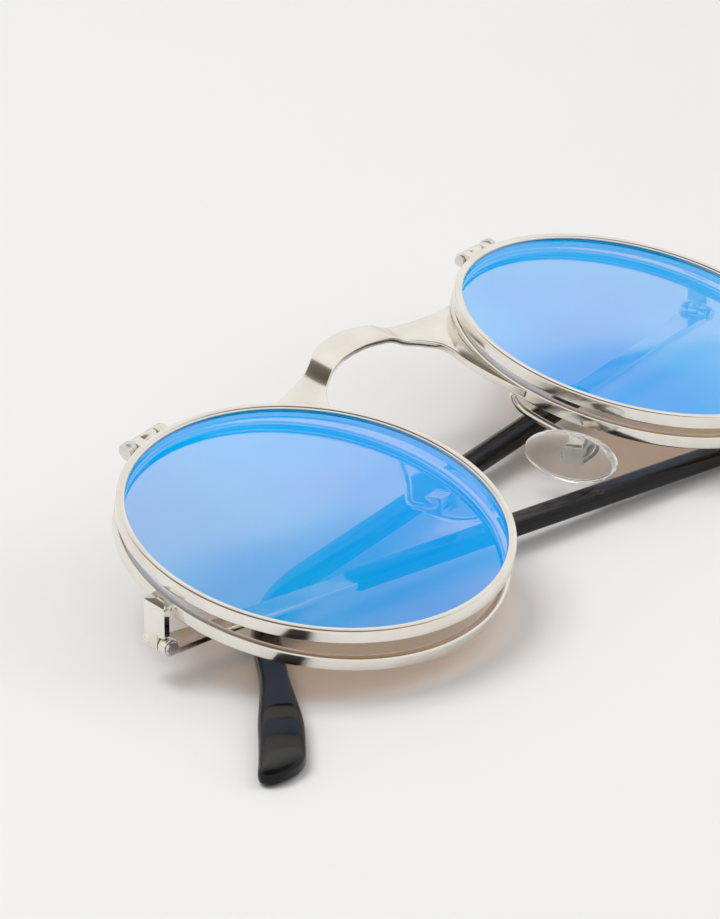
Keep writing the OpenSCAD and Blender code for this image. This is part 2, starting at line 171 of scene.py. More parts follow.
def smooth_step(share: np.ndarray) -> np.ndarray:
    """Eases from 0 to 1 as share squared times (3 - 2 share), flat before and after."""
    share = np.clip(share, 0, 1)
    return share**2 * (3 - 2 * share)


def superpower(wave: np.ndarray, power: float) -> np.ndarray:
    """A sine or cosine raised to a power with its sign kept, which squares up a round section."""
    return np.sign(wave) * np.abs(wave) ** power


def skin(rows: int, columns: int) -> list:
    """Faces of a tube of rows by columns points that closes round its columns and at both ends.

    Args:
        rows: number of rings.
        columns: number of points on each ring.

    Returns:
        Quads between neighbouring rings, and a fan at each end to the two points that follow
        the grid: the first end's middle, then the last end's.
    """
    index = np.arange(rows * columns).reshape(rows, columns)
    across = np.roll(index, -1, axis=1)
    quads = np.stack([index[:-1], across[:-1], across[1:], index[1:]], axis=-1).reshape(-1, 4)
    first, last = rows * columns, rows * columns + 1
    head = np.stack([np.full(columns, first), across[0], index[0]], axis=-1)
    foot = np.stack([np.full(columns, last), index[-1], across[-1]], axis=-1)
    return quads.tolist() + head.tolist() + foot.tolist()


def ring_skin(rows: int, columns: int) -> list:
    """Faces of a ring whose section closes on itself, with no ends."""
    index = np.arange(rows * columns).reshape(rows, columns)
    down, across = np.roll(index, -1, axis=0), np.roll(index, -1, axis=1)
    both = np.roll(down, -1, axis=1)
    return np.stack([index, across, both, down], axis=-1).reshape(-1, 4).tolist()


def make_piece(name: str, points: np.ndarray, faces: list) -> bpy.types.Object:
    """Puts points and faces into a new smooth object at the origin.

    Args:
        name: the object's name.
        points: (n, 3) array in millimetres in the frame of the whole model.
        faces: lists of point numbers.

    Returns:
        The object, with its faces turned outwards.
    """
    mesh = bpy.data.meshes.new(name)
    mesh.from_pydata((points * MM).tolist(), [], faces)
    work = bmesh.new()
    work.from_mesh(mesh)
    bmesh.ops.recalc_face_normals(work, faces=work.faces)
    work.to_mesh(mesh)
    work.free()
    mesh.polygons.foreach_set("use_smooth", np.ones(len(mesh.polygons), dtype=bool))
    piece = bpy.data.objects.new(name, mesh)
    bpy.context.scene.collection.objects.link(piece)
    return piece


def keep_corners(piece: bpy.types.Object, degrees: float) -> None:
    """Keeps the edges of a smooth piece crisp where its faces turn by more than an angle.

    Args:
        piece: the object.
        degrees: the angle.
    """
    edges = piece.modifiers.new("keep_corners", "EDGE_SPLIT")
    edges.split_angle = math.radians(degrees)


def lathe(profile: np.ndarray, steps: int) -> np.ndarray:
    """A profile turned round Z.

    Args:
        profile: (m, 2) array of radius and height.
        steps: number of copies round the axis.

    Returns:
        (m * steps, 3) points: x = radius cos(angle), y = radius sin(angle), z = height.
    """
    angle = np.linspace(0, 2 * np.pi, steps, endpoint=False)
    radius, height = profile[:, :1], profile[:, 1:]
    heights = np.broadcast_to(height, (len(profile), steps))
    return np.stack([radius * np.cos(angle), radius * np.sin(angle), heights], axis=-1).reshape(-1, 3)


def smooth_path(knots: np.ndarray, steps: int) -> np.ndarray:
    """Catmull-Rom curve through knots.

    Args:
        knots: (k, 3) points.
        steps: points on each span.

    Returns:
        The curve's points: each span blends its two ends and their neighbours by cubic weights.
    """
    padded = np.vstack([2 * knots[0] - knots[1], knots, 2 * knots[-1] - knots[-2]])
    t = np.linspace(0, 1, steps, endpoint=False)[:, None]
    weights = np.stack([
        -t + 2 * t**2 - t**3, 2 - 5 * t**2 + 3 * t**3, t + 4 * t**2 - 3 * t**3, t**3 - t**2,
    ]) / 2
    spans = np.stack([padded[:-3], padded[1:-2], padded[2:-1], padded[3:]])
    curve = np.einsum("wti,wkd->ktd", weights, spans).reshape(-1, 3)
    return np.vstack([curve, knots[-1]])


def wire_rings(path: np.ndarray, radius: np.ndarray, columns: int) -> np.ndarray:
    """Round rings square to a path.

    Args:
        path: (n, 3) points.
        radius: (n,) radii.
        columns: points on each ring.

    Returns:
        (n * columns, 3) points: each is the path's point plus radius times the turned normals.
    """
    along = np.gradient(path, axis=0)
    along /= np.linalg.norm(along, axis=1, keepdims=True)
    # A direction that no wire runs along
    helper = np.array([0.0, 0.7, 0.7])
    side = np.cross(along, helper)
    side /= np.linalg.norm(side, axis=1, keepdims=True)
    up = np.cross(side, along)
    angle = np.linspace(0, 2 * np.pi, columns, endpoint=False)
    ring = side[:, None] * np.cos(angle)[None, :, None] + up[:, None] * np.sin(angle)[None, :, None]
    return (path[:, None] + ring * radius[:, None, None]).reshape(-1, 3)


# Finishes


def new_material(name: str) -> tuple:
    """An empty node material.

    Args:
        name: the material's name.

    Returns:
        The material, its node tree and its output node.
    """
    material = bpy.data.materials.new(name)
    material.use_nodes = True
    tree = material.node_tree
    tree.nodes.clear()
    return material, tree, tree.nodes.new("ShaderNodeOutputMaterial")


def object_noise(tree: bpy.types.NodeTree, scale: float, detail: float) -> bpy.types.NodeSocket:
    """Noise on Object coordinates.

    Args:
        tree: where the nodes go.
        scale: features per metre.
        detail: how many finer layers the noise has.

    Returns:
        The factor socket.
    """
    place = tree.nodes.new("ShaderNodeTexCoord")
    noise = tree.nodes.new("ShaderNodeTexNoise")
    noise.inputs["Scale"].default_value = scale
    noise.inputs["Detail"].default_value = detail
    tree.links.new(place.outputs["Object"], noise.inputs["Vector"])
    return noise.outputs["Fac"]


def noise_between(
    tree: bpy.types.NodeTree, scale: float, low: tuple, high: tuple, detail: float = 4.0, margin: float = 0.35
) -> bpy.types.NodeSocket:
    """Noise spread between two colours.

    Args:
        tree: where the nodes go.
        scale: features per metre.
        low: colour at the noise's low end.
        high: colour at its high end.
        detail: how many finer layers the noise has.
        margin: share of the noise's range at each end that is all one colour.

    Returns:
        The colour socket.
    """
    ramp = tree.nodes.new("ShaderNodeValToRGB")
    for stop, position, tone in zip(ramp.color_ramp.elements, (margin, 1 - margin), (low, high)):
        stop.position = position
        stop.color = (*tone, 1)
    tree.links.new(object_noise(tree, scale, detail), ramp.inputs["Fac"])
    return ramp.outputs["Color"]


def fine_bump(
    tree: bpy.types.NodeTree, scale: float, depth: float, detail: float = 2.0, strength: float = 0.5
) -> bpy.types.NodeSocket:
    """A fine grain.

    Args:
        tree: where the nodes go.
        scale: grains per metre.
        depth: height of the grain in metres.
        detail: how many finer layers the grain has.
        strength: share of the grain that the surface shows.

    Returns:
        The normal socket.
    """
    bump = tree.nodes.new("ShaderNodeBump")
    bump.inputs["Strength"].default_value = strength
    bump.inputs["Distance"].default_value = depth
    tree.links.new(object_noise(tree, scale, detail), bump.inputs["Height"])
    return bump.outputs["Normal"]


@dataclass(frozen=True)
class SolidFinish:
    """A plated metal or a moulded plastic, with slight changes of tone and gloss."""

    name: str
    tone: tuple
    tone_worn: tuple
    metallic: float
    gloss: tuple
    tone_scale: float = 260.0
    gloss_scale: float = 520.0
    grain: float = 900.0
    grain_depth: float = 0.000002
    through: float = 0.0
    bend: float = 1.5
    shine: float = 0.5

    def material(self) -> bpy.types.Material:
        """The finish as a node material."""
        material, tree, output = new_material(self.name)
        shader = tree.nodes.new("ShaderNodeBsdfPrincipled")
        shader.inputs["Metallic"].default_value = self.metallic
        shader.inputs["Transmission Weight"].default_value = self.through
        shader.inputs["IOR"].default_value = self.bend
        shader.inputs["Specular IOR Level"].default_value = self.shine
        tone = noise_between(tree, self.tone_scale, self.tone, self.tone_worn)
        tree.links.new(tone, shader.inputs["Base Color"])
        low, high = ((value,) * 3 for value in self.gloss)
        tree.links.new(noise_between(tree, self.gloss_scale, low, high), shader.inputs["Roughness"])
        tree.links.new(fine_bump(tree, self.grain, self.grain_depth), shader.inputs["Normal"])
        tree.links.new(shader.outputs[0], output.inputs["Surface"])
        return material


@dataclass(frozen=True)
class MirrorCoating:
    """A coloured mirror that reflects one part of the light and lets another part through.

    The deep tone is the reflected one with each channel times its share in `deepened`, and
    broad clouds run between the two.
    """

    name: str
    reflected: tuple
    passed: tuple
    blur: float = 0.02
    deepened: tuple = (1.0, 0.74, 0.93)
    cloud_scale: float = 22.0

    def material(self) -> bpy.types.Material:
        """Gloss in the reflected colour added to a see-through shader in the passed colour."""
        material, tree, output = new_material(self.name)
        gloss = tree.nodes.new("ShaderNodeBsdfAnisotropic")
        gloss.inputs["Roughness"].default_value = self.blur
        passed = tree.nodes.new("ShaderNodeBsdfTransparent")
        passed.inputs["Color"].default_value = (*self.passed, 1)
        both = tree.nodes.new("ShaderNodeAddShader")
        deep = tuple(share * value for share, value in zip(self.deepened, self.reflected))
        tree.links.new(noise_between(tree, self.cloud_scale, deep, self.reflected), gloss.inputs["Color"])
        tree.links.new(gloss.outputs[0], both.inputs[0])
        tree.links.new(passed.outputs[0], both.inputs[1])
        tree.links.new(both.outputs[0], output.inputs["Surface"])
        return material


@dataclass(frozen=True)
class ClearGlass:
    """A clear lens: see-through, with a faint gloss and very faint clouds."""

    name: str
    passed: tuple
    gleam: float = 0.015
    blur: float = 0.02
    clouded: float = 0.985
    cloud_scale: float = 40.0

    def material(self) -> bpy.types.Material:
        """See-through and gloss, mixed by the gleam."""
        material, tree, output = new_material(self.name)
        gloss = tree.nodes.new("ShaderNodeBsdfAnisotropic")
        gloss.inputs["Roughness"].default_value = self.blur
        passed = tree.nodes.new("ShaderNodeBsdfTransparent")
        mix = tree.nodes.new("ShaderNodeMixShader")
        mix.inputs[0].default_value = self.gleam
        cloud = tuple(self.clouded * value for value in self.passed)
        tree.links.new(noise_between(tree, self.cloud_scale, cloud, self.passed), passed.inputs["Color"])
        tree.links.new(passed.outputs[0], mix.inputs[1])
        tree.links.new(gloss.outputs[0], mix.inputs[2])
        tree.links.new(mix.outputs[0], output.inputs["Surface"])
        return material


PLATE = SolidFinish(
    "warm_nickel_plate", tone=(0.80, 0.765, 0.70), tone_worn=(0.86, 0.835, 0.78), metallic=1.0,
    gloss=(0.10, 0.18),
)
STEEL = SolidFinish(
    "turned_steel", tone=(0.66, 0.65, 0.63), tone_worn=(0.76, 0.75, 0.73), metallic=1.0, gloss=(0.18, 0.30),
    grain=2400.0,
)
BLACK_TIP = SolidFinish(
    "gloss_black_tip", tone=(0.003, 0.003, 0.004), tone_worn=(0.006, 0.006, 0.007), metallic=0.0,
    gloss=(0.05, 0.10), grain_depth=0.0, shine=0.24,
)
SILICONE = SolidFinish(
    "clear_silicone", tone=(0.96, 0.955, 0.95), tone_worn=(0.985, 0.98, 0.975), metallic=0.0,
    gloss=(0.03, 0.07), grain_depth=0.0, through=0.92, bend=1.33,
)
INSERT = SolidFinish(
    "pad_insert", tone=(0.50, 0.49, 0.47), tone_worn=(0.58, 0.57, 0.55), metallic=0.4, gloss=(0.25, 0.4),
)
BLUE_MIRROR = MirrorCoating("blue_mirror_coating", reflected=(0.0, 0.46, 0.96), passed=(0.46, 0.25, 0.09))
BARE_BACK = ClearGlass("mirror_lens_back", passed=(0.98, 0.97, 0.96), gleam=0.005)
CLEAR_LENS = ClearGlass("clear_lens_glass", passed=(0.97, 0.985, 0.98))


@dataclass
class Workshop:
    """Makes each finish once, and dresses pieces and CAD nodes."""

    made: dict = field(default_factory=dict)
    weld_reach: float = 0.001
    soft_segments: int = 2
    soft_angle: float = 35.0

    def finish(self, finish: object) -> bpy.types.Material:
        """The material of a finish, made at its first use."""
        if finish.name not in self.made:
            self.made[finish.name] = finish.material()
        return self.made[finish.name]

    def dress_node(self, node: str, finish: object, bevel: float) -> None:
        """Gives a CAD node a finish, and softens its edges.

        Args:
            node: the node's name.
            finish: what it is made of.
            bevel: width of the rounding of its edges in millimetres.
        """
        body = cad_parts[node]
        if not body.material_slots:
            body.data.materials.append(self.finish(finish))
        for slot in body.material_slots:
            slot.link = "OBJECT"
            slot.material = self.finish(finish)
        weld = body.modifiers.new("join", "WELD")
        weld.merge_threshold = self.weld_reach * MM
        soft = body.modifiers.new("soft_edges", "BEVEL")
        soft.width = bevel * MM
        soft.segments = self.soft_segments
        soft.limit_method = "ANGLE"
        soft.angle_limit = math.radians(self.soft_angle)
        LOG.info("dressed %s", node)

    def add(self, piece: bpy.types.Object, finish: object, body: str, slot: str, *nodes: str) -> None:
        """Dresses a new piece and ties it to the frame.

        Args:
            piece: the new object.
            finish: what it is made of.
            body: the CAD body that carries it.
            slot: the record's material slot; not used.
            nodes: the CAD nodes that it stands for.
        """
        piece.data.materials.append(self.finish(finish))
        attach(piece, body)
        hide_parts(*nodes)
        LOG.info("made %s on %s", piece.name, body)


# Front and flips


@dataclass
class RimRing:
    """A round rim: a wire of nearly square section with soft edges and a lens groove."""

    height: float = LAYOUT.rim_h
    edge_r: float = 0.28
    groove_depth: float = 0.45
    corner_points: int = 5
    steps: int = 240
    crisp: float = 50.0

    def profile(self, groove_z: float, groove_h: float) -> np.ndarray:
        """The section as radius and height, round its outline.

        Args:
            groove_z: height of the middle of the lens groove.
            groove_h: height of the groove.

        Returns:
            (m, 2) array. Each corner is a quarter circle of edge_r: corner + edge_r (cos, sin).
        """
        inner, outer = LAYOUT.lens_r, LAYOUT.rim_r
        quarter = np.linspace(0, np.pi / 2, self.corner_points)
        r = self.edge_r
        corners = [
            (inner + r, r, np.pi), (outer - r, r, 1.5 * np.pi), (outer - r, self.height - r, 0.0),
            (inner + r, self.height - r, 0.5 * np.pi),
        ]
        arcs = [
            np.stack([x + r * np.cos(quarter + start), z + r * np.sin(quarter + start)], axis=-1)
            for x, z, start in corners
        ]
        half = groove_h / 2
        groove = np.array([
            [inner, groove_z + half], [inner + self.groove_depth, groove_z + half],
            [inner + self.groove_depth, groove_z - half], [inner, groove_z - half],
        ])
        return np.vstack([*arcs, groove])

    def build(self, name: str, place: np.ndarray, groove_z: float, groove_h: float) -> bpy.types.Object:
        """The rim as a piece.

        Args:
            name: the piece's name.
            place: the frame with the rim's underside at zero.
            groove_z: height of the groove's middle above the underside.
            groove_h: height of the groove.

        Returns:
            The piece.
        """
        profile = self.profile(groove_z, groove_h)
        points = placed(place, lathe(profile, self.steps))
        piece = make_piece(name, points, ring_skin(len(profile), self.steps))
        keep_corners(piece, self.crisp)
        return piece


@dataclass
class DomedLens:
    """A thin lens with a slightly domed front and a parallel back."""

    radius: float
    thickness: float
    dome: float
    inner_r: float = 0.6
    rings: int = 24
    steps: int = 160
    crisp: float = 50.0

    def build(self, name: str, place: np.ndarray, top: float) -> bpy.types.Object:
        """The lens as a piece.

        Args:
            name: the piece's name.
            place: the frame that the heights are counted in.
            top: height of the front's edge.

        Returns:
            The piece. Front height = top + dome (1 - (radius / lens radius) squared). Its front
            faces take the first material, and its edge and back the second.
        """
        radius = np.linspace(self.inner_r, self.radius, self.rings)
        front = top + self.dome * (1 - (radius / self.radius) ** 2)
        back = front - self.thickness
        profile = np.vstack([np.stack([radius, front], -1), np.stack([radius, back], -1)[::-1]])
        ends = np.array([[0, 0, top + self.dome], [0, 0, top + self.dome - self.thickness]])
        points = placed(place, np.vstack([lathe(profile, self.steps), ends]))
        piece = make_piece(name, points, skin(len(profile), self.steps))
        # Faces come in bands of as many as there are steps: front, edge and back, then the two fans
        band = np.arange(len(piece.data.polygons)) // self.steps
        middle_fan = len(profile) - 1
        on_front = (band < self.rings - 1) | (band == middle_fan)
        piece.data.polygons.foreach_set("material_index", np.where(on_front, 0, 1))
        keep_corners(piece, self.crisp)
        return piece


@dataclass
class BridgeStrip:
    """The flat strip between the rims: a raised middle, and a saddle that narrows down each rim."""

    thickness: float = 1.0
    edge_r: float = 0.22
    middle: float = 6.2
    ramp: float = 3.4
    rise: float = 0.9
    drop: float = 0.35
    saddle_dip: float = 0.6
    saddle_start: float = 0.5
    rim_tuck: float = 0.02
    least_width: float = 0.05
    corner_points: int = 4
    flat_points: int = 4
    steps: int = 8
    crisp: float = 60.0
    brow: tuple = (
        (0.0, 24.3), (3.0, 24.0), (5.6, 23.2), (8.0, 22.2), (11.0, 21.3), (15.0, 20.6), (19.5, 20.15),
    )
    rim_heights: tuple = (19.95, 16.0, 11.5, 7.0, 3.5, 0.9)
    nose: tuple = (
        (0.0, 20.3), (2.9, 20.1), (5.7, 19.4), (8.0, 18.6), (9.8, 17.6), (11.5, 16.1), (12.5, 14.9),
        (12.95, 13.4), (13.05, 12.1), (12.75, 10.0), (12.25, 6.8), (12.1, 3.4), (12.28, 1.1),
    )

    def half(self) -> tuple:
        """The brow edge and the nose edge of the right half, station by station.

        Returns:
            Two (n, 3) arrays with z at zero. The brow edge ends along the rim's outer circle,
            tucked slightly into it: x = half the eye pitch - sqrt(rim radius squared - y squared).
        """
        reach = LAYOUT.eye_pitch / 2 + self.rim_tuck
        rim = [(reach - math.sqrt(LAYOUT.rim_r**2 - y * y), y) for y in self.rim_heights]
        return tuple(
            smooth_path(np.column_stack([np.array(edge), np.zeros(len(edge))]), self.steps)
            for edge in (self.brow + tuple(rim), self.nose)
        )

    def height(self, x: np.ndarray) -> np.ndarray:
        """Height of the strip's top.

        Args:
            x: distances from the middle of the glasses.

        Returns:
            The heights. Each end follows the wrap of its rim, drop below it, and the middle is
            raised by rise, with a smooth step down over the ramp.
        """
        slope = math.tan(math.radians(LAYOUT.wrap))
        outward = np.maximum(np.abs(x), self.middle + self.ramp / 2)
        low = (LAYOUT.eye_pitch / 2 - outward) * slope - self.drop
        return low + self.rise * (1 - smooth_step((np.abs(x) - self.middle) / self.ramp))

    def section(self, width: float) -> np.ndarray:
        """A flat section with round edges.

        Args:
            width: from brow edge to nose edge.

        Returns:
            (20, 2) array of distance from the brow edge and height above the top face.
        """
        # The rounding shrinks with the strip where that gets narrow
        r = min(self.edge_r, width / 2.2)
        quarter = np.linspace(0, np.pi / 2, self.corner_points)
        low = -self.thickness
        corners = [
            (r, -r, np.pi), (width - r, -r, np.pi / 2), (width - r, low + r, 0.0), (r, low + r, -np.pi / 2),
        ]
        arcs = [
            np.stack([x + r * np.cos(start - quarter), z + r * np.sin(start - quarter)], axis=-1)
            for x, z, start in corners
        ]
        across = np.linspace(r, width - r, self.flat_points)[1:-1]
        top = np.column_stack([across, np.zeros_like(across)])
        foot = np.column_stack([across[::-1], np.full_like(across, low)])
        return np.vstack([arcs[0], top, arcs[1], arcs[2], foot, arcs[3]])

    def build(self) -> bpy.types.Object:
        """The strip as a piece.

        Returns:
            The piece. A section stands between the two edges at each station. It is raised to the
            height there, and from the start of each saddle its nose side sinks by saddle_dip
            times the squared sine of the share of the saddle.
        """
        brow, nose = self.half()
        flip = np.array([-1.0, 1.0, 1.0])
        brow = np.vstack([(brow * flip)[::-1], brow[1:]])
        nose = np.vstack([(nose * flip)[::-1], nose[1:]])
        station = np.abs(np.linspace(-1, 1, len(brow)))
        saddle = np.clip((station - self.saddle_start) / (1 - self.saddle_start), 0, 1)
        dip = self.saddle_dip * np.sin(np.pi * saddle) ** 2
        rings = []
        for start, end, sink in zip(brow, nose, dip):
            width = max(float(np.linalg.norm(end - start)), self.least_width)
            shape = self.section(width)
            share = shape[:, :1] / width
            ring = start + (end - start) * share
            ring[:, 2] = self.height(ring[:, 0]) + shape[:, 1] - sink * share[:, 0] ** 2
            rings.append(ring)
        grid = np.array(rings)
        points = np.vstack([grid.reshape(-1, 3), grid[0].mean(axis=0), grid[-1].mean(axis=0)])
        piece = make_piece("bridge_strip", placed(LAYOUT.front(), points), skin(len(grid), grid.shape[1]))
        keep_corners(piece, self.crisp)
        return piece


@dataclass
class Front:
    """The fixed front: rims, clear lenses, bridge, endpieces and the fixed halves of the hinges."""

    shop: Workshop
    rim: RimRing = field(default_factory=RimRing)
    clear: DomedLens = field(default_factory=lambda: DomedLens(radius=23.85, thickness=0.96, dome=0.02))
    groove_h: float = 1.08

    def build(self) -> None:
        """Makes the round pieces and dresses the CAD nodes."""
        middle = LAYOUT.rim_h / 2
        for side in Side:
            word = side.word
            under = LAYOUT.eye(side) @ moved(0, 0, -LAYOUT.rim_h)
            rim = self.rim.build(f"{word}_fixed_rim_ring", under, middle, self.groove_h)
            self.shop.add(rim, PLATE, "front", "frame", f"{word}_base_rim")
            lens = self.clear.build(f"{word}_clear_lens_disc", under, middle + self.clear.thickness / 2)
            self.shop.add(lens, CLEAR_LENS, "front", "clear_lens", f"{word}_clear_lens")
            lens.data.materials.append(self.shop.finish(CLEAR_LENS))
            self.shop.dress_node(f"{word}_endpiece", PLATE, bevel=0.14)
            self.shop.dress_node(f"{word}_temple_screw", STEEL, bevel=0.05)
            self.shop.dress_node(f"{word}_flip_bracket", PLATE, bevel=0.08)
            self.shop.dress_node(f"{word}_flip_screw", STEEL, bevel=0.08)
        self.shop.add(BridgeStrip().build(), PLATE, "front", "frame", "bridge")


@dataclass
class Flips:
    """The two mirrored lenses in their rims, each on its hinge at the brow."""

    shop: Workshop
    rim: RimRing = field(default_factory=RimRing)
    lens: DomedLens = field(default_factory=lambda: DomedLens(radius=23.87, thickness=0.86, dome=0.6))
    drop: float = 0.4
    groove_h: float = 0.98
    half_seat: float = 0.45
    lens_play: float = 0.02

    def build(self) -> None:
        """Makes both rims and lenses: a lens sits drop below its rim's top, with play in its groove."""
        seat_top = self.rim.height - self.drop
        for side in Side:
            word = side.word
            place = LAYOUT.flip(side)
            body = f"{word}_flip"
            rim = self.rim.build(f"{word}_flip_rim_ring", place, seat_top - self.half_seat, self.groove_h)
            self.shop.add(rim, PLATE, body, "frame", f"{word}_flip_rim")
            lens = self.lens.build(f"{word}_mirror_lens_disc", place, seat_top - self.lens_play)
            self.shop.add(lens, BLUE_MIRROR, body, "mirror_lens", f"{word}_mirror_lens")
            lens.data.materials.append(self.shop.finish(BARE_BACK))
            self.shop.dress_node(f"{word}_flip_leaf", PLATE, bevel=0.08)


# Temples


@dataclass
class Temple:
    """A folding temple: a bare metal strip at the hinge, then a glossy tip to the ear."""

    shop: Workshop
    side: Side
    start: float = 30.0
    straight: float = 93.0
    ear_r: float = 29.0
    ear_angle: float = 41.0
    ear_l: float = 32.4
    width: float = 3.6
    depth: float = 2.2
    paddle: float = 5.6
    paddle_turn: float = 1.2
    paddle_skew: float = 0.8
    swell: tuple = (0.25, 0.75)
    skewed_from: float = 0.7
    shoulder_rows: tuple = (0.0, 0.05, 0.15, 0.3, 0.5, 0.8)
    shoulder_share: float = 0.72
    straight_from: float = 2.0
    straight_rows: int = 30
    bend_rows: int = 26
    ear_rows: int = 60
    end_depth_share: float = 0.35
    roundness: float = 3.6
    strip_z: float = -0.65
    slope: float = 1.4719
    columns: int = 40

    @property
    def body_l(self) -> float:
        """Length of the ear up to the middle of its rounded end."""
        return self.ear_l - self.paddle / 2

    def centre_line(self) -> tuple:
        """The tip's middle line in plan.

        Returns:
            Arc lengths, points, headings and lengths past the bend. The line is a straight, then
            an arc of ear_r, then the ear, which swings by paddle_turn times the cube of its share.
        """
        bend_l = self.ear_r * math.radians(self.ear_angle)
        s = np.concatenate([
            self.start + np.array(self.shoulder_rows),
            np.linspace(self.start + self.straight_from, self.straight, self.straight_rows),
            np.linspace(self.straight, self.straight + bend_l, self.bend_rows)[1:],
            self.straight + bend_l + np.linspace(0, self.ear_l, self.ear_rows)[1:],
        ])
        turn = np.clip((s - self.straight) / self.ear_r, 0, math.radians(self.ear_angle))
        beyond = np.clip(s - self.straight - bend_l, 0, self.ear_l)
        x = np.minimum(s, self.straight) + self.ear_r * np.sin(turn) + beyond * math.cos(turn[-1])
        y = -self.ear_r * (1 - np.cos(turn)) - beyond * math.sin(turn[-1])
        share = np.clip(beyond / self.body_l, 0, 1)
        swing = self.paddle_turn * share**3
        x = x + swing * math.sin(turn[-1])
        y = y + swing * math.cos(turn[-1])
        heading = -turn + np.arctan(3 * self.paddle_turn * share**2 / self.body_l)
        return s, np.stack([x, y], axis=-1), heading, beyond

    def half_widths(self, s: np.ndarray, beyond: np.ndarray) -> tuple:
        """Half the width and half the depth of each section.

        Args:
            s: arc lengths.
            beyond: lengths past the ear bend.

        Returns:
            Two arrays. The width swells smoothly to the paddle. The width closes in a circle's
            curve at the rounded end, and the depth with it down to end_depth_share. Both open in
            a quarter circle over the short shoulder at the start.
        """
        begin, end = self.swell
        swell = smooth_step((beyond / self.body_l - begin) / (end - begin))
        width = self.width / 2 + (self.paddle - self.width) / 2 * swell
        # The last section stops just short of the end, so that it keeps a size
        past = np.clip((beyond - self.body_l) / (self.paddle / 2), 0, 0.999)
        close = np.sqrt(1 - past**2)
        shoulder = np.clip((s - self.start) / self.shoulder_rows[-1], 0, 1)
        opened = self.shoulder_share + (1 - self.shoulder_share) * np.sqrt(1 - (1 - shoulder) ** 2)
        thinned = self.end_depth_share + (1 - self.end_depth_share) * close
        return width * close * opened, self.depth / 2 * thinned * opened

    def tip(self) -> bpy.types.Object:
        """The black tip: a squared oval carried along the middle line.

        Returns:
            The piece. Each section's points are the middle plus half width times a cosine across
            the line and half depth times a sine upwards, both raised to 2 / roundness. Near the
            end a section also leans forward, by paddle_skew times how far across a point lies.
        """
        s, middle, heading, beyond = self.centre_line()
        width, depth = self.half_widths(s, beyond)
        angle = np.linspace(0, 2 * np.pi, self.columns, endpoint=False)
        flat = superpower(np.cos(angle), 2 / self.roundness)
        tall = superpower(np.sin(angle), 2 / self.roundness)
        across = np.stack([-np.sin(heading), np.cos(heading)], axis=-1)
        along = np.stack([np.cos(heading), np.sin(heading)], axis=-1)
        near_end = (beyond / self.body_l - self.skewed_from) / (1 - self.skewed_from)
        skew = self.paddle_skew * smooth_step(near_end)
        offset = (width[:, None] * flat)[..., None]
        plan = middle[:, None] + across[:, None] * offset + (along * skew[:, None])[:, None] * offset
        height = self.strip_z + depth[:, None] * tall
        points = np.concatenate([plan, height[..., None]], axis=-1).reshape(-1, 3)
        ends = np.array([[*middle[0], self.strip_z], [*middle[-1], self.strip_z]])
        points = placed(LAYOUT.temple(self.side, self.slope), np.vstack([points, ends]))
        return make_piece(f"{self.side.word}_black_tip", points, skin(len(s), self.columns))

    def build(self) -> None:
        """Makes the tip and dresses the strip."""
        word = self.side.word
        self.shop.add(self.tip(), BLACK_TIP, f"{word}_temple", "temple_tip", f"{word}_temple_tip")
        self.shop.dress_node(f"{word}_temple_arm", PLATE, bevel=0.12)


# Nose pads


